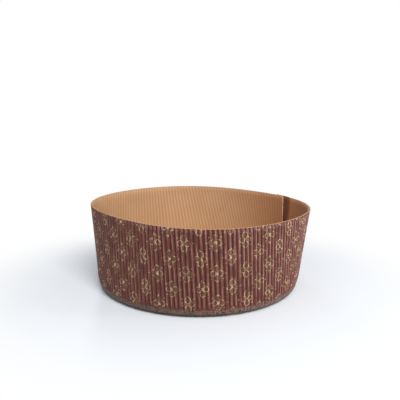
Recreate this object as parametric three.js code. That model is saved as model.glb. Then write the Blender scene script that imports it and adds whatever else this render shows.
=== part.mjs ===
// A low round paper baking mold: a flared wall of fluted paper with a glued lap seam, folded
// inward at its foot into a pressed flange, and a smooth board disc that lies on the flange.
// Millimetres, +Z up. The origin is where the mold stands, at the middle of its outline.

import * as THREE from 'three';

const { degToRad, lerp, smoothstep } = THREE.MathUtils;

// Outside of the mold, measured over the crests of the flutes
const moldHeight = 68;
const rimRadius = 90.5;
const wallFlareDegrees = 3.8;
const heelRadius = 6;
const flangeOpeningRadius = 65;

// The rim is pushed out of round by hand, most along one diagonal, and the foot stays round
const rimBulges = [
  { lobes: 2, reach: 4.2, peakDegrees: -40 },
  { lobes: 3, reach: 0.6, peakDegrees: 17 },
  { lobes: 4, reach: 1.8, peakDegrees: 1 },
];

// Fluted paper: a flat liner inside and one fluted ply glued to it
const boardThickness = 1.6;
const linerThickness = 0.3;
const plyThickness = 0.3;
const pressedThickness = 0.9;
const fluteCount = 168;
const crestShare = 0.4;
const valleyShare = 0.16;
const tubeFloorAboveHeel = 1;

// The seam: one end of the strip lies over the other, counted in flutes from the inner end
const seamDegrees = 25;
const lapFlutes = 3;
const lapLift = 1.6;
const lapRunOutFlutes = 3;
const cutEdgeHalfWidth = 0.01;

// Corners on each flute: valley, crest and valley on the wall, and valley and crest where pressed
const openCorners = 4;
const pressedCorners = 2;
const fluteMiddle = 0.5;

// The board disc and its pin holes
const discThickness = 0.6;
const discEdgeGap = 0.3;
const discSides = 96;
const ventCount = 4;
const ventRadius = 1;
const ventCircleRadius = 57;
const ventSides = 12;

// Steps around the rounded heel
const heelSteps = 3;

// Sizes that follow from the ones above
const wallFlare = degToRad(wallFlareDegrees);
const heelCentreRadius = rimRadius
  - (moldHeight - heelRadius * (1 - Math.sin(wallFlare))) * Math.tan(wallFlare)
  - heelRadius * Math.cos(wallFlare);
const ridgeDepth = boardThickness - linerThickness - plyThickness;
const slopeShare = (1 - crestShare - valleyShare) / 2;
const pitch = 2 * Math.PI * rimRadius / fluteCount;

// A station is one level of the wall, the heel or the flange: the place of the flute crests
// there, the direction that points out of the paper, and how much of each effect is left.
const rimStation = {
  radius: rimRadius,
  height: moldHeight,
  outward: [1, 0],
  thickness: boardThickness,
  bulge: 1,
  lift: 1,
};

function heelStation(step) {
  const share = step / heelSteps;
  const angle = lerp(wallFlare, Math.PI / 2, share);
  return {
    radius: heelCentreRadius + heelRadius * Math.cos(angle),
    height: heelRadius * (1 - Math.sin(angle)),
    outward: [Math.cos(angle), -Math.sin(angle)],
    thickness: lerp(boardThickness, pressedThickness, share),
    bulge: 0,
    lift: 1 - share,
  };
}

const heelStations = Array.from({ length: heelSteps + 1 }, (unused, step) => heelStation(step));
const heelTop = heelStations[0];
const flangeStation = { ...heelStations[heelSteps], radius: flangeOpeningRadius };

function rimPush(azimuth) {
  return rimBulges.reduce((sum, { lobes, reach, peakDegrees }) => {
    const fromPeak = azimuth - degToRad(peakDegrees);
    return sum + reach * Math.cos(lobes * fromPeak);
  }, 0);
}

// The run-out where the outer end of the strip comes down from the lap to the plain wall
function runOut(place) {
  return lapLift * smoothstep(place, fluteCount - lapRunOutFlutes, fluteCount);
}

function outerLift(place) {
  return place < lapFlutes ? lapLift : runOut(place);
}

// A point at a place along the strip, counted in flutes, and a depth below the crests
function pointAt(station, place, depth, lift) {
  const azimuth = degToRad(seamDegrees) + 2 * Math.PI * place / fluteCount;
  const away = lift * station.lift - depth;
  const radius = station.radius + away * station.outward[0] + rimPush(azimuth) * station.bulge;
  const height = station.height + away * station.outward[1];
  return new THREE.Vector3(radius * Math.cos(azimuth), radius * Math.sin(azimuth), height);
}

function valleyHalf(flute) {
  return flute % fluteCount === lapFlutes ? cutEdgeHalfWidth : valleyShare / 2;
}

// Collects the corners and faces of one closed surface
class Surface {
  corners = [];
  faces = [];

  add(points) {
    return points.map((point) => this.corners.push(point.x, point.y, point.z) / 3 - 1);
  }

  // A flat or nearly flat face with its corners in turn, cut into triangles from the first one
  face(...corners) {
    for (let i = 1; i < corners.length - 1; i += 1) {
      this.faces.push(corners[0], corners[i], corners[i + 1]);
    }
  }

  band(from, to) {
    from.forEach((corner, i) => {
      const next = (i + 1) % from.length;
      this.face(corner, from[next], to[next], to[i]);
    });
  }

  geometry() {
    const geometry = new THREE.BufferGeometry();
    geometry.setAttribute('position', new THREE.Float32BufferAttribute(this.corners, 3));
    geometry.setIndex(this.faces);
    geometry.computeVertexNormals();
    return geometry;
  }
}

// Rings of points at one station. Each flute runs from one valley centre to the next.
const flutes = Array.from({ length: fluteCount }, (unused, flute) => flute);

function openFlutes(station) {
  const valleyDepth = station.thickness - linerThickness - plyThickness;
  return flutes.flatMap((flute) => [
    [flute + valleyHalf(flute), valleyDepth],
    [flute + (1 - crestShare) / 2, 0],
    [flute + (1 + crestShare) / 2, 0],
    [flute + 1 - valleyHalf(flute + 1), valleyDepth],
  ]).map(([place, depth]) => pointAt(station, place, depth, outerLift(place)));
}

function pressedFlutes(station) {
  const valleyDepth = station.thickness - linerThickness - plyThickness;
  return flutes.flatMap((flute) => [
    pointAt(station, flute, valleyDepth, outerLift(flute)),
    pointAt(station, flute + fluteMiddle, 0, outerLift(flute)),
  ]);
}

// The liner starts just past the seam and ends just before it, so it has one point more
function liner(station) {
  const places = [cutEdgeHalfWidth, ...flutes.slice(1), fluteCount - cutEdgeHalfWidth];
  return places.map((place) => pointAt(station, place, station.thickness, runOut(place)));
}

// The hollow between the liner and one flute, narrower than the flute by the ply around it
function tubeCorners(station, flute) {
  const slopeRun = slopeShare * pitch;
  const plyAcross = plyThickness * Math.hypot(slopeRun, ridgeDepth) / ridgeDepth / pitch;
  const side = (level) => valleyShare / 2 + plyAcross
    + slopeShare * (level - linerThickness - plyThickness) / ridgeDepth;
  const foot = linerThickness;
  const top = boardThickness - plyThickness;
  return [
    [side(foot), foot],
    [side(top), top],
    [1 - side(top), top],
    [1 - side(foot), foot],
  ].map(([across, level]) => pointAt(
    station,
    flute + across,
    boardThickness - level,
    outerLift(flute + across),
  ));
}

function buildWall() {
  const surface = new Surface();
  const fluteRing = (ring, flute, i) => ring[(openCorners * flute + i) % ring.length];
  const pressedRing = (ring, flute, i) => ring[(pressedCorners * flute + i) % ring.length];

  const rimFlutes = surface.add(openFlutes(rimStation));
  const heelFlutes = surface.add(openFlutes(heelTop));
  const pressed = [flangeStation, ...heelStations.slice(1).reverse()]
    .map((station) => surface.add(pressedFlutes(station)));
  const liners = [rimStation, ...heelStations, flangeStation]
    .map((station) => surface.add(liner(station)));
  const rimLiner = liners[0];
  const flangeLiner = liners[liners.length - 1];

  // Underside of the flange and the pressed heel, then the wall up to the rim
  pressed.slice(1).forEach((ring, i) => surface.band(pressed[i], ring));
  const heelEnd = pressed[pressed.length - 1];
  flutes.forEach((flute) => {
    const [valley, crest, nextValley] = [0, 1, 2].map((i) => pressedRing(heelEnd, flute, i));
    const [right, crestLeft, crestRight, nextLeft] = [0, 1, 2, 3]
      .map((i) => fluteRing(heelFlutes, flute, i));
    const left = fluteRing(heelFlutes, flute + fluteCount - 1, 3);
    surface.face(valley, right, left);
    surface.face(valley, crest, crestLeft, right);
    surface.face(crest, crestRight, crestLeft);
    surface.face(crest, nextValley, nextLeft, crestRight);
  });
  surface.band(heelFlutes, rimFlutes);

  // Cut edge of the rim, open into the tube of every flute
  const floorShare = tubeFloorAboveHeel / (moldHeight - heelTop.height);
  const tubes = flutes.map((flute) => {
    const rimCorners = tubeCorners(rimStation, flute);
    const heelCorners = tubeCorners(heelTop, flute);
    const floorCorners = heelCorners.map((corner, i) => corner.clone()
      .lerp(rimCorners[i], floorShare));
    return { rim: surface.add(rimCorners), floor: surface.add(floorCorners) };
  });
  tubes.forEach(({ rim, floor }, flute) => {
    const [right, crestLeft, crestRight, nextLeft] = [0, 1, 2, 3]
      .map((i) => fluteRing(rimFlutes, flute, i));
    const left = fluteRing(rimFlutes, flute + fluteCount - 1, 3);
    const [footLeft, topLeft, topRight, footRight] = rim;
    const previousFoot = tubes[(flute + fluteCount - 1) % fluteCount].rim[3];
    const linerLeft = rimLiner[flute];
    const linerRight = rimLiner[flute + 1];
    surface.face(right, crestLeft, topLeft, footLeft);
    surface.face(crestLeft, crestRight, topRight, topLeft);
    surface.face(crestRight, nextLeft, footRight, topRight);
    surface.face(footLeft, footRight, linerRight, linerLeft);
    if (flute === 0) {
      const linerEnd = rimLiner[fluteCount];
      surface.face(linerEnd, previousFoot, left, right, footLeft, linerLeft);
    } else {
      surface.face(linerLeft, previousFoot, left, right, footLeft);
    }
    rim.forEach((corner, i) => {
      const next = (i + 1) % rim.length;
      surface.face(corner, rim[next], floor[next], floor[i]);
    });
    surface.face(...floor);
  });

  // Inside of the wall, the heel and the flange, then the cut edge of the flange
  liners.slice(1).forEach((ring, i) => surface.band(liners[i], ring));
  const flangeUnder = pressed[0];
  flutes.forEach((flute) => {
    const [valley, crest, nextValley] = [0, 1, 2].map((i) => pressedRing(flangeUnder, flute, i));
    const linerLeft = flangeLiner[flute];
    const linerRight = flangeLiner[flute + 1];
    surface.face(crest, valley, linerLeft, linerRight, nextValley);
  });
  surface.face(flangeLiner[fluteCount], flangeLiner[0], flangeUnder[0]);

  return surface.geometry();
}

function buildDisc() {
  const circle = (path, radius, sides, centre) => {
    for (let i = 0; i < sides; i += 1) {
      const angle = 2 * Math.PI * i / sides;
      const x = centre.x + radius * Math.cos(angle);
      const y = centre.y + radius * Math.sin(angle);
      if (i === 0) {
        path.moveTo(x, y);
      } else {
        path.lineTo(x, y);
      }
    }
    path.closePath();
    return path;
  };
  const outline = circle(
    new THREE.Shape(),
    heelCentreRadius - discEdgeGap,
    discSides,
    new THREE.Vector2(),
  );
  for (let i = 0; i < ventCount; i += 1) {
    const angle = 2 * Math.PI * i / ventCount;
    const centre = new THREE.Vector2(Math.cos(angle), Math.sin(angle));
    centre.multiplyScalar(ventCircleRadius);
    outline.holes.push(circle(new THREE.Path(), ventRadius, ventSides, centre));
  }
  return new THREE.ExtrudeGeometry(outline, { depth: discThickness, bevelEnabled: false });
}

const printedPaper = new THREE.MeshStandardMaterial({
  color: '#6c403b',
  roughness: 0.62,
  metalness: 0,
});
const plainBoard = new THREE.MeshStandardMaterial({
  color: '#d3ab7a',
  roughness: 0.85,
  metalness: 0,
});

const sideWall = new THREE.Mesh(buildWall(), printedPaper);
sideWall.name = 'side_wall';

const baseDisc = new THREE.Mesh(buildDisc(), plainBoard);
baseDisc.name = 'base_disc';
baseDisc.position.z = pressedThickness;

// The middle of the outline is brought over the origin
sideWall.geometry.computeBoundingBox();
const middle = sideWall.geometry.boundingBox.getCenter(new THREE.Vector3());
const mold = new THREE.Group();
mold.add(sideWall, baseDisc);
mold.position.set(-middle.x, -middle.y, 0);

const model = new THREE.Group();
model.add(mold);

export default model;
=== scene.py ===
# A low round paper baking mold on a pale floor. Metres, +Z up, seen from the front, along +Y.
# The wall is one strip of fluted paper: a flat kraft liner and a printed fluted ply glued to it.

import math

import bmesh
import bpy
import numpy as np
from mathutils import Matrix, Vector


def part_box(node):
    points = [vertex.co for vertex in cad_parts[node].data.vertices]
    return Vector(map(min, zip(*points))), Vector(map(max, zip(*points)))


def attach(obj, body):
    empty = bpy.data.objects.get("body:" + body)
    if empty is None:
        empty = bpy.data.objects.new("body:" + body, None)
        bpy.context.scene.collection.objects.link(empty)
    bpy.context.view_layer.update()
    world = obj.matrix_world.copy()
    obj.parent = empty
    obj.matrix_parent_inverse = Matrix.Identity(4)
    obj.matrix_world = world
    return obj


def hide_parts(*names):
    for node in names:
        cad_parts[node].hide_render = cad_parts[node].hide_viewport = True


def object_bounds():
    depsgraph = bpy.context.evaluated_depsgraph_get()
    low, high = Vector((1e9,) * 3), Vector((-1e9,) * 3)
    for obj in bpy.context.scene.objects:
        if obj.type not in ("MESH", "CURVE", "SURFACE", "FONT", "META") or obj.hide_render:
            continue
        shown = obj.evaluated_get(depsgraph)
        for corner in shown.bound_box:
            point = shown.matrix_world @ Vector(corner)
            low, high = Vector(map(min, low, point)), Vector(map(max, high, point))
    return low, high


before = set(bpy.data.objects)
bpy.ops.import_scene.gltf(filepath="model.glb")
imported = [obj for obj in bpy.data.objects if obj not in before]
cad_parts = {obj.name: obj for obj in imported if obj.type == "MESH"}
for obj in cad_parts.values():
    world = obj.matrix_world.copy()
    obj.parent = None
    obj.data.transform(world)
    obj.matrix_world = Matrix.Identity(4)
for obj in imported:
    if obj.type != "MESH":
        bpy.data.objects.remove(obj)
cad_low, cad_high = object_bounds()

MM = 0.001

# Outside of the mold, over the crests of the flutes
HEIGHT = cad_high.z
RIM_RADIUS = 90.5 * MM
WALL_FLARE = math.radians(3.8)
HEEL_RADIUS = 6 * MM
FLANGE_OPENING_RADIUS = 65 * MM

# How the rim is pushed out of round: the number of lobes, their reach and where one of them peaks
RIM_BULGES = (
    (2, 4.2 * MM, math.radians(-40)),
    (3, 0.6 * MM, math.radians(17)),
    (4, 1.8 * MM, math.radians(1)),
)

# Fluted paper, with its thickness over the flutes and where it is pressed flat
BOARD = 1.6 * MM
PRESSED_BOARD = 0.9 * MM
LINER = 0.3 * MM
PLY = 0.3 * MM
FLUTES = 168
FLUTE_TURN = 2 * math.pi / FLUTES
FLUTE_PITCH = FLUTE_TURN * RIM_RADIUS

# The seam, where the outer end of the strip climbs and laps over its inner end. The inner end is
# squeezed to fit under it. Lengths along the strip are in flutes.
SEAM = math.radians(25)
LAP_FLUTES = 3
LAP_LIFT = 1.6 * MM
LAP_RUN_OUT = 3
LAP_CLEARANCE = 0.05 * MM
LAP_EDGE_MARGIN = 0.1
LAP_EDGE_WIDTH = 0.3
STRIP_FLUTES = FLUTES + LAP_FLUTES

# How far the flutes stand from an even division, in flutes: the mean, and the lobes around
RIM_SHIFT = -0.58
RIM_SHIFT_LOBES = ((1, 0.75, math.radians(18)), (2, 1.16, math.radians(74)))
FOOT_SHIFT = 0.83
FOOT_SHIFT_LOBES = ((1, 0.99, math.radians(-123)), (2, 0.84, math.radians(-32)))

# How much further the flutes lean at the back, in flutes between the rim and the foot
BACK_LEAN = 3.2

# The middle of the mold's foot, which the disc shows
disc_low, disc_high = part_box("base_disc")
AXIS = np.array([(disc_low.x + disc_high.x) / 2, (disc_low.y + disc_high.y) / 2, 0])

# The rounded heel between the wall and the flange
HEEL_TOP = HEEL_RADIUS * (1 - math.sin(WALL_FLARE))
HEEL_TOP_RADIUS = RIM_RADIUS - (HEIGHT - HEEL_TOP) * math.tan(WALL_FLARE)
HEEL_CENTRE = HEEL_TOP_RADIUS - HEEL_RADIUS * math.cos(WALL_FLARE)

# Lengths along the section, from the cut rim down to the opening of the flange
WALL_LENGTH = (HEIGHT - HEEL_TOP) / math.cos(WALL_FLARE)
HEEL_LENGTH = HEEL_RADIUS * (math.pi / 2 - WALL_FLARE)
FLANGE_LENGTH = HEEL_CENTRE - FLANGE_OPENING_RADIUS

# The profile of a flute: below 1 its crest is broad and its valleys are narrow
FLUTE_ROUNDNESS = 0.42

# At the heel the flutes are crushed, over CRUSH_LENGTH, into pleats as high as CRUSHED_RIDGE
CRUSH_LENGTH = 1.6 * MM
CRUSHED_RIDGE = 0.16 * MM

# The print on the crushed pleats is shaded as if it all lay this share of the way up a flute
CRUSHED_SHADE = 0.6

# Small irregularities of each flute and of its pleat. Leans are in flutes, heights are shares of
# the full height, and starts are counted down from the top of the heel.
LEAN_SPREAD = 0.035
HEIGHT_RANGE = (0.9, 1.04)
PLEAT_LEAN_SPREAD = 0.16
PLEAT_HEIGHT_RANGE = (0.45, 1.3)
PLEAT_START_RANGE = (-2.2 * MM, -0.8 * MM)

# The strip's flutes, its far edge and one to spare
FLUTE_SLOTS = STRIP_FLUTES + 2

SEED = 7
random = np.random.default_rng(SEED)
flute_lean = random.normal(0, LEAN_SPREAD, FLUTE_SLOTS)
flute_height = random.uniform(*HEIGHT_RANGE, FLUTE_SLOTS)
pleat_lean = random.normal(0, PLEAT_LEAN_SPREAD, FLUTE_SLOTS)
pleat_height = random.uniform(*PLEAT_HEIGHT_RANGE, FLUTE_SLOTS)
pleat_start = random.uniform(*PLEAT_START_RANGE, FLUTE_SLOTS)

# Rows of faces down the strip, and the rows that its coarser hidden sides keep
WALL_ROWS = 16
HEEL_ROWS = 10
HEEL_END_ROW = WALL_ROWS + HEEL_ROWS
COARSE_ROWS = (0, 1, 6, 11, WALL_ROWS, WALL_ROWS + 3, WALL_ROWS + 6, HEEL_END_ROW)

# Materials of a sheet of paper
FRONT, BACK, EDGE = 0, 1, 2

# Keeps a place on the line between two flutes from being rounded into the one before it
ROUNDING = 1e-6


def smooth(x):
    """0 below 0 and 1 above 1, smooth between them."""
    x = np.clip(x, 0, 1)
    return x * x * (3 - 2 * x)


def wall_share(depth):
    """0 at the rim, and 1 from the top of the heel on."""
    return np.clip(depth / WALL_LENGTH, 0, 1)


def heel_share(depth):
    """0 down to the top of the heel, and 1 on the flange."""
    return np.clip((depth - WALL_LENGTH) / HEEL_LENGTH, 0, 1)


def section(depth):
    """Radius and height of the crests, and how far the way out of the paper tips down."""
    wall = wall_share(depth)
    heel = heel_share(depth)
    flange = np.clip(depth - WALL_LENGTH - HEEL_LENGTH, 0, None)
    heel_angle = WALL_FLARE + heel * (math.pi / 2 - WALL_FLARE)
    angle = np.where(heel > 0, heel_angle, WALL_FLARE * wall)
    radius = np.where(
        heel > 0,
        HEEL_CENTRE + HEEL_RADIUS * np.cos(heel_angle) - flange,
        RIM_RADIUS + (HEEL_TOP_RADIUS - RIM_RADIUS) * wall,
    )
    height = np.where(
        heel > 0,
        HEEL_RADIUS * (1 - np.sin(heel_angle)),
        HEIGHT + (HEEL_TOP - HEIGHT) * wall,
    )
    return radius, height, angle


def board_thickness(depth):
    return BOARD + (PRESSED_BOARD - BOARD) * heel_share(depth)


def lobed(azimuth, lobes):
    return sum(reach * np.cos(count * (azimuth - peak)) for count, reach, peak in lobes)


def strip_azimuth(place, depth):
    """Where a place along the strip stands around the mold. The flutes lean a little."""
    even = SEAM + FLUTE_TURN * place
    rim = RIM_SHIFT + lobed(even, RIM_SHIFT_LOBES)
    foot = FOOT_SHIFT + lobed(even, FOOT_SHIFT_LOBES)
    foot = foot - BACK_LEAN * np.clip(np.sin(even), 0, None) ** 2
    return even + FLUTE_TURN * (rim + (foot - rim) * wall_share(depth))


def strip_lift(place):
    """The outer end of the strip climbs over the inner end."""
    return LAP_LIFT * smooth((place - FLUTES + LAP_RUN_OUT) / LAP_RUN_OUT)


def strip_points(place, depth, level):
    """Points on the strip, at a place along it and a depth down it from the rim.

    level is counted outward from the liner's inner face.
    """
    radius, height, angle = section(depth)
    azimuth = strip_azimuth(place, depth)
    lift = strip_lift(place) * (1 - heel_share(depth)) ** 2
    away = lift + level - board_thickness(depth)
    bulge = lobed(azimuth, RIM_BULGES) * (1 - wall_share(depth))
    radius = radius + away * np.cos(angle) + bulge
    height = height - away * np.sin(angle)
    points = np.stack([radius * np.cos(azimuth), radius * np.sin(azimuth), height], -1)
    return points + AXIS


def flute_wave(phase):
    """Height of a flute across its width: 0 in the valleys and 1 on the crest."""
    return np.clip(0.5 - 0.5 * np.cos(2 * math.pi * phase), 0, 1) ** FLUTE_ROUNDNESS


def whole_flutes(place):
    return np.floor(place + ROUNDING)


def flute_height_at(place, depth):
    """Level of the printed face from the liner's inner face, and how far it is up its flute."""
    index = np.clip(whole_flutes(place).astype(int), 0, FLUTE_SLOTS - 1)
    pressed = smooth((depth - WALL_LENGTH - pleat_start[index]) / CRUSH_LENGTH)

    phase = place - index
    lean = flute_lean[index] + pleat_lean[index] * pressed
    wave = flute_wave(phase + lean * np.sin(math.pi * phase) ** 2)
    scale = flute_height[index] * (1 - pressed) + pleat_height[index] * pressed

    ridge = board_thickness(depth) - LINER - PLY
    under_lap = smooth((LAP_FLUTES + LAP_EDGE_MARGIN - place) / LAP_EDGE_WIDTH)
    lapped_ridge = np.minimum(ridge, LAP_LIFT - LINER - PLY - LAP_CLEARANCE)
    ridge = ridge + (lapped_ridge - ridge) * under_lap
    ridge = ridge + (np.minimum(ridge, CRUSHED_RIDGE) - ridge) * pressed

    level = LINER + PLY + ridge * np.minimum(wave * scale, 1)
    shade = wave + (CRUSHED_SHADE - wave) * pressed
    return level, shade


def add_to_scene(name, data):
    piece = bpy.data.objects.new(name, data)
    bpy.context.scene.collection.objects.link(piece)
    return piece


def paper_sheet(name, place, depth, front_level, back_level, strip_data, out, materials):
    """A closed sheet of paper: a fine front, a coarser back and the cut edges between them.

    strip_data is what the front's material reads about the strip. out is 1 where the front
    faces away from the mold's axis, and -1 where it faces it.
    """
    rows, columns = place.shape
    back_rows = [*COARSE_ROWS, rows - 1]
    front = np.arange(rows * columns).reshape(rows, columns)
    back = rows * columns + np.arange(len(back_rows) * columns).reshape(-1, columns)
    faces = []
    face_materials = []

    def add(face, material):
        wound = face if out > 0 else face[::-1]
        faces.append([int(corner) for corner in wound])
        face_materials.append(material)

    def quads(grid):
        """Corners of each face of a grid: here, below, below on the right, and right."""
        for upper, lower in zip(grid, grid[1:]):
            yield from zip(upper, lower, lower[1:], upper[1:])

    for here, below, across, right in quads(front):
        add((here, below, across, right), FRONT)
    for here, below, across, right in quads(back):
        add((here, right, across, below), BACK)
    for i in range(columns - 1):
        j = i + 1
        add((front[0, i], front[0, j], back[0, j], back[0, i]), EDGE)
        add((front[-1, j], front[-1, i], back[-1, i], back[-1, j]), EDGE)
    for row in range(len(back_rows) - 1):
        run = list(range(back_rows[row], back_rows[row + 1] + 1))
        add([front[i, 0] for i in run[::-1]] + [back[row, 0], back[row + 1, 0]], EDGE)
        add([front[i, -1] for i in run] + [back[row + 1, -1], back[row, -1]], EDGE)

    front_points = strip_points(place, depth, front_level).reshape(-1, 3)
    back_points = strip_points(place, depth, back_level)[back_rows].reshape(-1, 3)
    points = np.concatenate([front_points, back_points])
    data = np.concatenate([strip_data.reshape(-1, 3), np.zeros_like(back_points)])

    mesh = bpy.data.meshes.new(name)
    mesh.from_pydata(points.tolist(), [], faces)
    for material in materials:
        mesh.materials.append(material)
    mesh.polygons.foreach_set("material_index", np.array(face_materials, np.int32))
    mesh.polygons.foreach_set("use_smooth", np.ones(len(faces), bool))
    layer = mesh.attributes.new("strip", "FLOAT_VECTOR", "POINT")
    layer.data.foreach_set("vector", data.astype(np.float32).ravel())
    mesh.update()
    return add_to_scene(name, mesh)


def strip_grid(columns_per_flute, flange_rows):
    """Places along the strip and depths down it, row by row."""
    wall = np.linspace(0, WALL_LENGTH, WALL_ROWS + 1)
    heel = WALL_LENGTH + np.linspace(0, HEEL_LENGTH, HEEL_ROWS + 1)[1:]
    flange = WALL_LENGTH + HEEL_LENGTH + np.linspace(0, FLANGE_LENGTH, flange_rows + 1)[1:]
    places = np.arange(STRIP_FLUTES * columns_per_flute + 1) / columns_per_flute
    return np.meshgrid(places, np.concatenate([wall, heel, flange]))


def printed_share(phase):
    """Share of one flute's printed length that lies before each phase of it."""
    step_count = 64
    steps = np.linspace(0, 1, step_count + 1)
    ridge = BOARD - LINER - PLY
    lengths = np.hypot(np.diff(steps) * FLUTE_PITCH, np.diff(flute_wave(steps)) * ridge)
    along = np.concatenate([[0], np.cumsum(lengths)]) / lengths.sum()
    return np.interp(phase, steps, along)


def build_fluted_ply(materials):
    columns_per_flute, flange_rows = 12, 8
    glue_line = 0.01 * MM
    place, depth = strip_grid(columns_per_flute, flange_rows)
    level, shade = flute_height_at(place, depth)
    slope = np.gradient(level, axis=1) * columns_per_flute / FLUTE_PITCH
    back_level = np.maximum(level - PLY * np.hypot(1, slope), LINER + glue_line)
    whole = whole_flutes(place)
    printed = whole + printed_share(place - whole)
    data = np.stack([printed, depth / MM, shade], -1)
    return paper_sheet("fluted_ply", place, depth, level, back_level, data, 1, materials)


def build_liner(materials):
    columns_per_flute, flange_rows = 6, 4
    rib_depth = 0.05 * MM
    place, depth = strip_grid(columns_per_flute, flange_rows)
    glued = 0.5 + 0.5 * np.cos(2 * math.pi * place)
    level = rib_depth * (1 - glued)
    back_level = np.full_like(place, LINER)
    data = np.stack([place, depth / MM, glued], -1)
    return paper_sheet("liner", place, depth, level, back_level, data, -1, materials)


def build_disc(material):
    """The board disc, with slightly rounded cut edges and four punched pin holes."""
    outline_sides, vent_sides = 192, 20
    vent_count, vent_radius, vent_circle = 4, 1 * MM, 57 * MM
    edge_round = 0.12 * MM
    flange_clearance = 0.01 * MM
    radius = (disc_high.x - disc_low.x) / 2
    bottom, top = disc_low.z + flange_clearance, disc_high.z

    # Each loop has its centre, radius, sides, and the way it turns: holes turn backward
    loops = [(np.zeros(2), radius, outline_sides, 1)]
    for i in range(vent_count):
        angle = 2 * math.pi * i / vent_count
        centre = vent_circle * np.array([math.cos(angle), math.sin(angle)])
        loops.append((centre, vent_radius, vent_sides, -1))

    solid = bmesh.new()
    levels = (
        (bottom, edge_round),
        (bottom + edge_round, 0),
        (top - edge_round, 0),
        (top, edge_round),
    )
    flat_edges = {0: [], len(levels) - 1: []}
    for centre, loop_radius, sides, turn in loops:
        angles = turn * 2 * math.pi * np.arange(sides) / sides
        rings = []
        for height, inset in levels:
            ring_radius = loop_radius - inset * turn
            rings.append([
                solid.verts.new((
                    centre[0] + ring_radius * math.cos(angle),
                    centre[1] + ring_radius * math.sin(angle),
                    height,
                ))
                for angle in angles
            ])
        for low, high in zip(rings, rings[1:]):
            for i in range(sides):
                j = (i + 1) % sides
                solid.faces.new((low[i], low[j], high[j], high[i]))
        for level, edges in flat_edges.items():
            ring = rings[level]
            edges.extend(solid.edges.get((ring[i], ring[(i + 1) % sides])) for i in range(sides))
    for level, edges in flat_edges.items():
        normal = (0, 0, 1 if level else -1)
        bmesh.ops.triangle_fill(
            solid, edges=edges, use_beauty=True, use_dissolve=False, normal=normal
        )
    bmesh.ops.recalc_face_normals(solid, faces=solid.faces)
    mesh = bpy.data.meshes.new("board_disc")
    solid.to_mesh(mesh)
    solid.free()
    mesh.transform(Matrix.Translation(Vector(AXIS)))
    mesh.materials.append(material)
    return add_to_scene("board_disc", mesh)


class Nodes:
    """Short calls for the nodes of one tree."""

    # Sockets of the colour mix node, which has others with the same names
    MIX_SHARE, MIX_LOW, MIX_HIGH, MIX_COLOUR = 0, 6, 7, 2

    def __init__(self, tree):
        self.tree = tree

    def new(self, kind, **settings):
        node = self.tree.nodes.new(kind)
        for key, value in settings.items():
            setattr(node, key, value)
        return node

    def put(self, value, socket):
        if isinstance(value, bpy.types.NodeSocket):
            self.tree.links.new(value, socket)
        else:
            socket.default_value = value

    def make(self, kind, *values, **settings):
        """First output of a new node, whose inputs take the values in order."""
        node = self.new(kind, **settings)
        for value, socket in zip(values, node.inputs):
            self.put(value, socket)
        return node.outputs[0]

    def math(self, operation, *values):
        return self.make("ShaderNodeMath", *values, operation=operation)

    def distance(self, x, y):
        squares = [self.math("POWER", value, 2.0) for value in (x, y)]
        return self.math("SQRT", self.math("ADD", *squares))

    def vector(self, x, y, z):
        return self.make("ShaderNodeCombineXYZ", x, y, z)

    def fade(self, value, start, end):
        """1 below start and 0 above end, smooth between them."""
        settings = {"interpolation_type": "SMOOTHSTEP"}
        return self.make("ShaderNodeMapRange", value, start, end, 1.0, 0.0, **settings)

    def rise(self, value, start, end):
        """0 below start and 1 above end, smooth between them."""
        return self.math("SUBTRACT", 1.0, self.fade(value, start, end))

    def mix(self, share, low, high):
        node = self.new("ShaderNodeMix", data_type="RGBA")
        self.put(share, node.inputs[self.MIX_SHARE])
        self.put(low, node.inputs[self.MIX_LOW])
        self.put(high, node.inputs[self.MIX_HIGH])
        return node.outputs[self.MIX_COLOUR]

    def attribute(self, label):
        node = self.new("ShaderNodeAttribute", attribute_name=label)
        split = self.new("ShaderNodeSeparateXYZ")
        self.put(node.outputs["Vector"], split.inputs[0])
        return split.outputs

    def object_place(self):
        return self.new("ShaderNodeTexCoord").outputs["Object"]

    def noise(self, where, scale, detail, roughness):
        node = self.new("ShaderNodeTexNoise")
        self.put(where, node.inputs["Vector"])
        self.put(scale, node.inputs["Scale"])
        self.put(detail, node.inputs["Detail"])
        self.put(roughness, node.inputs["Roughness"])
        return node.outputs["Fac"]

    def looked_at(self):
        """1 for what the camera or a reflection sees, and 0 for what lights the mold."""
        path = self.new("ShaderNodeLightPath").outputs
        return self.math("MAXIMUM", path["Is Camera Ray"], path["Is Glossy Ray"])


class Material(Nodes):
    """A material with one shader, and short calls for its nodes."""

    def __init__(self, name):
        self.data = bpy.data.materials.new(name)
        self.data.use_nodes = True
        super().__init__(self.data.node_tree)
        self.shader = self.tree.nodes["Principled BSDF"]

    def bump(self, height, strength, distance):
        node = self.new("ShaderNodeBump")
        self.put(strength, node.inputs["Strength"])
        self.put(distance, node.inputs["Distance"])
        self.put(height, node.inputs["Height"])
        self.put(node.outputs[0], self.shader.inputs["Normal"])

    def finish(self, colour, roughness, specular):
        self.put(colour, self.shader.inputs["Base Color"])
        self.put(roughness, self.shader.inputs["Roughness"])
        self.put(specular, self.shader.inputs["Specular IOR Level"])
        return self.data


def srgb(red, green, blue):
    """A colour written as 0 to 255 screen values, as the shader takes it."""

    def linear(value):
        share = value / 255
        return ((share + 0.055) / 1.055) ** 2.4 if share > 0.04045 else share / 12.92

    return (linear(red), linear(green), linear(blue), 1)


WHITE = (1, 1, 1, 1)

# The printed side
INK_DARK, INK_PALE = srgb(52, 14, 8), srgb(110, 57, 43)
# Pale ink for some crests, partly rubbed ink and partly a painted highlight
INK_RUBBED_HIGHLIGHT = srgb(166, 126, 114)
# Dark ink past the fold, partly its own ink and partly painted shade under the heel; pale crumpled ink,
# partly wear and partly painted sheen
INK_FOLD_SHADE, INK_CRUMPLED_SHEEN = srgb(34, 16, 13), srgb(104, 78, 68)
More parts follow.
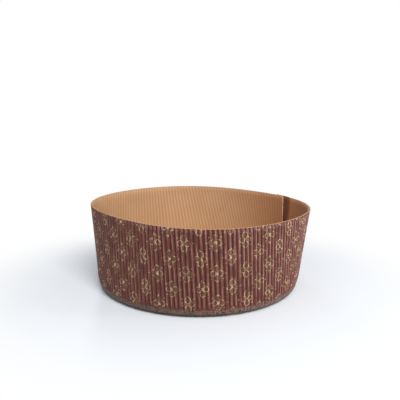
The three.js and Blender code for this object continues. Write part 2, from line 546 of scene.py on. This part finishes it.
# Gold of the ornaments on a crest, and the same gold darkened by painted shade in a valley
GOLD_CREST, GOLD_VALLEY_SHADE = srgb(188, 158, 124), srgb(92, 62, 42)
PETAL_TINT = srgb(92, 72, 42)

# The plain papers, each from dark to pale
CUT_EDGE = (srgb(202, 158, 132), srgb(230, 192, 166))
PLY_BACK = (srgb(150, 104, 66), srgb(190, 142, 98))
LINER_FACE = (srgb(174, 131, 94), srgb(212, 174, 136))
DISC_BOARD = (srgb(196, 150, 104), srgb(232, 194, 150))

# Changes of the liner's colour, each with how much of it is mixed in
RIB_BROWN, RIB_SHARE = srgb(120, 78, 48), 0.36
# Painted warm shade on the inner wall near the seam, and a band along the seam that is partly glue
# stain and partly painted shade
SEAM_SIDE_SHADE, SEAM_SIDE_SHADE_SHARE = srgb(158, 92, 50), 0.45
STAIN_AND_SHADE, STAIN_AND_SHADE_SHARE = srgb(96, 54, 32), 0.75

# Where those changes begin and end along the strip, in flutes
SHADE_BEFORE_SEAM = (FLUTES - 26, FLUTES - 6)
SHADE_AFTER_SEAM = (0, 20)
STAIN_AND_SHADE_AT_SEAM = (FLUTES - 3.8, FLUTES - 1.8)

# The fold at the foot, where it and its painted shade begin and where its outer part ends, in
# millimetres from the rim
FOLD_MM = WALL_LENGTH / MM
FOLD_BEGINS = (FOLD_MM - 2.0, FOLD_MM - 0.5)
OUTER_FOLD_ENDS = (FOLD_MM + 2.3, FOLD_MM + 3.6)

# The print: outlined four-petal ornaments on every second place of a grid, as on a checkerboard.
# The grid is a little askew: its next column is COLUMN_FLUTES along the strip and COLUMN_DROP_MM
# down it, and its next row is ROW_SHIFT_FLUTES along and ROW_MM down.
COLUMN_FLUTES = 3.249
COLUMN_DROP_MM = -0.561
ROW_MM = 11.425
ROW_SHIFT_FLUTES = 0.034
FIRST_FLUTE = 110.95
FIRST_MM = 10.76

# One ornament, in millimetres from its middle. Dots have their place and radius.
UPRIGHT_PETAL = {"centre": 3.3, "along": 2.6, "across": 2.0}
LEVEL_PETAL = {"centre": 2.6, "along": 1.85, "across": 2.15}
LINE_HALF_WIDTH = 0.19
MIDDLE_DOT = (0.0, 0.0, 0.6)
OUTER_DOTS = ((4.2, 4.1, 0.34), (6.4, 0.0, 0.36), (0.0, 6.6, 0.3))

# Where the ink's painted valley shade, its crest highlight and crumpled sheen (partly wear, partly
# painted light) and its wear begin and end: shares of the way up a flute, or of a noise
VALLEY_SHADE = (0.0, 0.6)
CREST = (0.92, 1.0)
RUBBED_HIGHLIGHT_STREAKS = (0.36, 0.62)
CRUMPLED_SHEEN_SPOTS = (0.34, 0.6)
WORN_SPOTS = (0.44, 0.6)
FOLD_WITHOUT_GOLD = (0.1, 0.8)

# Where a drawn shape begins to fade and where it ends, as shares of its own size
LINE_EDGE = (0.5, 1.6)
DOT_EDGE = (0.6, 1.4)
PETAL_EDGE = (0.8, 1.0)


def ornament(nodes, x, y):
    """Lines and petals of one ornament. Its four like quarters are folded into one."""

    def oval(across, along, petal):
        """How far out a place is in a petal: 1 on its outline."""
        from_centre = nodes.math("SUBTRACT", along, petal["centre"])
        return nodes.distance(
            nodes.math("DIVIDE", across, petal["across"]),
            nodes.math("DIVIDE", from_centre, petal["along"]),
        )

    def outline(oval_share, petal):
        line_share = LINE_HALF_WIDTH / ((petal["across"] + petal["along"]) / 2)
        off_line = nodes.math("ABSOLUTE", nodes.math("SUBTRACT", oval_share, 1.0))
        return nodes.fade(off_line, LINE_EDGE[0] * line_share, LINE_EDGE[1] * line_share)

    def dot(at_x, at_y, radius):
        off_x = nodes.math("SUBTRACT", x, at_x)
        off_y = nodes.math("SUBTRACT", y, at_y)
        off_dot = nodes.distance(off_x, off_y)
        return nodes.fade(off_dot, DOT_EDGE[0] * radius, DOT_EDGE[1] * radius)

    upright = oval(x, y, UPRIGHT_PETAL)
    level = oval(y, x, LEVEL_PETAL)
    line = nodes.math("MAXIMUM", outline(upright, UPRIGHT_PETAL), outline(level, LEVEL_PETAL))
    for at_x, at_y, radius in (MIDDLE_DOT, *OUTER_DOTS):
        line = nodes.math("MAXIMUM", line, dot(at_x, at_y, radius))
    fill = nodes.fade(nodes.math("MINIMUM", upright, level), *PETAL_EDGE)
    return line, fill


def printed_ornaments(nodes, along, down):
    """Mask of the gold lines, and a mask of the petals inside them."""
    u = nodes.math("SUBTRACT", along, FIRST_FLUTE)
    v = nodes.math("SUBTRACT", down, FIRST_MM)
    area = COLUMN_FLUTES * ROW_MM - COLUMN_DROP_MM * ROW_SHIFT_FLUTES
    column = nodes.math(
        "SUBTRACT",
        nodes.math("MULTIPLY", u, ROW_MM / area),
        nodes.math("MULTIPLY", v, ROW_SHIFT_FLUTES / area),
    )
    row = nodes.math(
        "SUBTRACT",
        nodes.math("MULTIPLY", v, COLUMN_FLUTES / area),
        nodes.math("MULTIPLY", u, COLUMN_DROP_MM / area),
    )
    lines = 0.0
    fills = 0.0
    for drop in (0, 1):
        # Columns and rows from the nearest ornament of every second column and row
        near_column = nodes.math("WRAP", nodes.math("ADD", column, drop), 1.0, -1.0)
        near_row = nodes.math("WRAP", nodes.math("ADD", row, drop), 1.0, -1.0)
        column_mm = COLUMN_FLUTES * FLUTE_PITCH / MM
        x = nodes.math("ABSOLUTE", nodes.math("MULTIPLY", near_column, column_mm))
        y = nodes.math("ABSOLUTE", nodes.math("MULTIPLY", near_row, ROW_MM))
        line, fill = ornament(nodes, x, y)
        lines = nodes.math("MAXIMUM", line, lines)
        fills = nodes.math("MAXIMUM", fill, fills)
    return lines, fills


def printed_paper():
    nodes = Material("printed_paper")
    along, down, ridge = nodes.attribute("strip")
    place = nodes.object_place()
    lines, fills = printed_ornaments(nodes, along, down)

    # Dark red-brown ink with fine streaks along the flutes, darkened in the valleys by painted shade
    streak_squeeze = 0.03
    mottle_share, streak_share = 0.5, 0.9
    valley_shade_darkening, even_darkening = 0.75, 0.22
    stretched = nodes.vector(along, nodes.math("MULTIPLY", down, streak_squeeze), 0.0)
    streaks = nodes.noise(stretched, scale=2.6, detail=2.0, roughness=0.55)
    mottle = nodes.noise(place, scale=260, detail=3.0, roughness=0.6)
    valley_shade = nodes.fade(ridge, *VALLEY_SHADE)
    tone = nodes.math(
        "SUBTRACT",
        nodes.math("MULTIPLY_ADD", mottle, mottle_share, nodes.math("MULTIPLY", streaks, streak_share)),
        nodes.math("MULTIPLY_ADD", valley_shade, valley_shade_darkening, even_darkening),
    )
    ink = nodes.mix(tone, INK_DARK, INK_PALE)

    # Some crests are paler: partly rubbed ink and partly a painted highlight
    rubbed_highlight_share = 0.5
    crest = nodes.rise(ridge, *CREST)
    rubbed_highlight = nodes.math("MULTIPLY", crest, nodes.rise(streaks, *RUBBED_HIGHLIGHT_STREAKS))
    ink = nodes.mix(nodes.math("MULTIPLY", rubbed_highlight, rubbed_highlight_share), ink, INK_RUBBED_HIGHLIGHT)

    # Past the fold the ink is dark, partly its own ink and partly painted contact shade under the heel;
    # on the outer part of the fold pale crumpled spots are partly wear and partly painted sheen
    fold_shade_share = 0.9
    folded_and_shaded = nodes.rise(down, *FOLD_BEGINS)
    outer_fold = nodes.math("MULTIPLY", folded_and_shaded, nodes.fade(down, *OUTER_FOLD_ENDS))
    crumple = nodes.noise(place, scale=620, detail=3.0, roughness=0.65)
    crumpled_sheen = nodes.math("MULTIPLY", outer_fold, nodes.rise(crumple, *CRUMPLED_SHEEN_SPOTS))
    ink = nodes.mix(nodes.math("MULTIPLY", folded_and_shaded, fold_shade_share), ink, INK_FOLD_SHADE)
    ink = nodes.mix(crumpled_sheen, ink, INK_CRUMPLED_SHEEN)

    # Pale gold ornaments, thin and a little broken, darkened in the valleys by painted shade, and an
    # olive tint inside their petals
    tint_share = 0.3
    wear = nodes.noise(place, scale=900, detail=3.0, roughness=0.6)
    gold = nodes.mix(valley_shade, GOLD_CREST, GOLD_VALLEY_SHADE)
    whole = nodes.math(
        "MULTIPLY", nodes.fade(wear, *WORN_SPOTS), nodes.fade(folded_and_shaded, *FOLD_WITHOUT_GOLD)
    )
    colour = nodes.mix(nodes.math("MULTIPLY", fills, tint_share), ink, PETAL_TINT)
    colour = nodes.mix(nodes.math("MULTIPLY", lines, whole), colour, gold)

    wear_roughness, least_roughness = 0.2, 0.4
    grain = nodes.noise(place, scale=2600, detail=3.0, roughness=0.65)
    nodes.bump(grain, strength=0.25, distance=0.06 * MM)
    roughness = nodes.math("MULTIPLY_ADD", wear, wear_roughness, least_roughness)
    return nodes.finish(colour, roughness, specular=0.34)


def kraft_paper(name, dark, pale, tint=None):
    """Plain brown paper with fibres and soft blotches. tint, if given, changes its colour."""
    fibre_share, blotch_share = 0.55, 0.45
    nodes = Material(name)
    place = nodes.object_place()
    fibre = nodes.noise(place, scale=1500, detail=4.0, roughness=0.7)
    blotch = nodes.noise(place, scale=60, detail=3.0, roughness=0.55)
    share = nodes.math(
        "MULTIPLY_ADD", fibre, fibre_share, nodes.math("MULTIPLY", blotch, blotch_share)
    )
    colour = nodes.mix(share, dark, pale)
    if tint:
        colour = tint(nodes, colour)
    nodes.bump(fibre, strength=0.3, distance=0.08 * MM)
    return nodes.finish(colour, roughness=0.82, specular=0.3)


def liner_tint(nodes, colour):
    """A rib at each glue line, painted warm shade on the shaded wall on both sides of the seam, and
    along the seam a dark band that is partly a glue stain and partly painted shade.
    """
    along, _, glued = nodes.attribute("strip")
    seam_side_shade = nodes.math(
        "ADD", nodes.rise(along, *SHADE_BEFORE_SEAM), nodes.fade(along, *SHADE_AFTER_SEAM)
    )
    stained_and_shaded = nodes.rise(along, *STAIN_AND_SHADE_AT_SEAM)
    colour = nodes.mix(nodes.math("MULTIPLY", glued, RIB_SHARE), colour, RIB_BROWN)
    colour = nodes.mix(nodes.math("MULTIPLY", seam_side_shade, SEAM_SIDE_SHADE_SHARE), colour, SEAM_SIDE_SHADE)
    return nodes.mix(nodes.math("MULTIPLY", stained_and_shaded, STAIN_AND_SHADE_SHARE), colour, STAIN_AND_SHADE)


def build_camera():
    """A camera in front of the mold and a little above it, placed in rim radii from its foot."""
    distance, height = 4.5665 * RIM_RADIUS, 1.6595 * RIM_RADIUS
    focal_pixels, frame_pixels, sensor_mm = 489.55, 400, 36.0
    pitch, yaw, roll = 0.19, 0.0025, 0.0089
    ahead = Vector((
        math.sin(yaw) * math.cos(pitch),
        math.cos(yaw) * math.cos(pitch),
        -math.sin(pitch),
    ))
    level_right = Vector((math.cos(yaw), -math.sin(yaw), 0))
    level_up = level_right.cross(ahead)
    right = level_right * math.cos(roll) + level_up * math.sin(roll)
    up = level_up * math.cos(roll) - level_right * math.sin(roll)
    camera_data = bpy.data.cameras.new("camera")
    camera_data.sensor_fit = "HORIZONTAL"
    camera_data.sensor_width = sensor_mm
    camera_data.lens = sensor_mm * focal_pixels / frame_pixels
    camera_data.clip_start = 0.01
    camera = add_to_scene("camera", camera_data)
    turn = Matrix((right, up, -ahead)).transposed().to_4x4()
    spot = Vector((AXIS[0], AXIS[1] - distance, height))
    camera.matrix_world = Matrix.Translation(spot) @ turn
    bpy.context.scene.camera = camera


def build_floor():
    """A pale floor that, to the camera and to reflections, turns plain white away from the mold."""
    half_width = 6.0
    pale_until, white_from = 0.1, 0.22
    mesh = bpy.data.meshes.new("floor")
    corners = [(x * half_width, y * half_width, 0) for x, y in ((-1, -1), (1, -1), (1, 1), (-1, 1))]
    mesh.from_pydata(corners, [], [(0, 1, 2, 3)])
    nodes = Material("floor_paint")
    mesh.materials.append(nodes.finish(srgb(234, 239, 245), roughness=0.7, specular=0.2))
    reach = nodes.new("ShaderNodeVectorMath", operation="LENGTH")
    nodes.put(nodes.object_place(), reach.inputs[0])
    far = nodes.rise(reach.outputs["Value"], pale_until, white_from)
    white_share = nodes.math("MULTIPLY", far, nodes.looked_at())
    white = nodes.make("ShaderNodeEmission", WHITE, 1.0)
    shown = nodes.make("ShaderNodeMixShader", white_share, nodes.shader.outputs[0], white)
    nodes.put(shown, nodes.tree.nodes["Material Output"].inputs["Surface"])
    add_to_scene("floor", mesh)


def build_world():
    """Soft sky light, and plain white where the camera or a reflection sees past the floor."""
    sky_colour, sky_strength = (0.9, 0.95, 1.0, 1), 0.4
    world = bpy.data.worlds.new("studio")
    bpy.context.scene.world = world
    world.use_nodes = True
    world.node_tree.nodes.clear()
    nodes = Nodes(world.node_tree)
    light = nodes.make("ShaderNodeBackground", sky_colour, sky_strength)
    white = nodes.make("ShaderNodeBackground", WHITE, 1.0)
    shown = nodes.make("ShaderNodeMixShader", nodes.looked_at(), light, white)
    nodes.put(shown, nodes.new("ShaderNodeOutputWorld").inputs["Surface"])


def build_lamp(name, place, size, watts, colour):
    """A square lamp that points at the lower half of the mold."""
    aim = Vector((0, 0, 0.03))
    lamp_data = bpy.data.lights.new(name, "AREA")
    lamp_data.shape = "SQUARE"
    lamp_data.size = size
    lamp_data.energy = watts
    lamp_data.color = colour
    lamp = add_to_scene(name, lamp_data)
    look = (aim - Vector(place)).to_track_quat("-Z", "Y")
    lamp.matrix_world = Matrix.Translation(Vector(place)) @ look.to_matrix().to_4x4()


build_camera()

cut_edge = kraft_paper("cut_edge", *CUT_EDGE)
ply_back = kraft_paper("ply_back", *PLY_BACK)
liner_face = kraft_paper("liner_face", *LINER_FACE, tint=liner_tint)
disc_board = kraft_paper("disc_board", *DISC_BOARD)

ply = build_fluted_ply([printed_paper(), ply_back, cut_edge])
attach(ply, "root")
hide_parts("side_wall")

liner = build_liner([liner_face, ply_back, cut_edge])
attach(liner, "root")
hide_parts("side_wall")

disc = build_disc(disc_board)
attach(disc, "root")
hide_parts("base_disc")

build_floor()
build_world()
build_lamp("key", (0.27, -0.76, 0.64), size=0.5, watts=10.2, colour=(1.0, 0.98, 0.95))
build_lamp("side", (0.75, -0.16, 0.056), size=0.1, watts=3.8, colour=(1.0, 0.99, 0.98))
build_lamp("back", (-0.2, 0.76, 0.056), size=0.1, watts=4.0, colour=(1.0, 0.99, 0.98))

bpy.context.scene.view_settings.view_transform = "Standard"
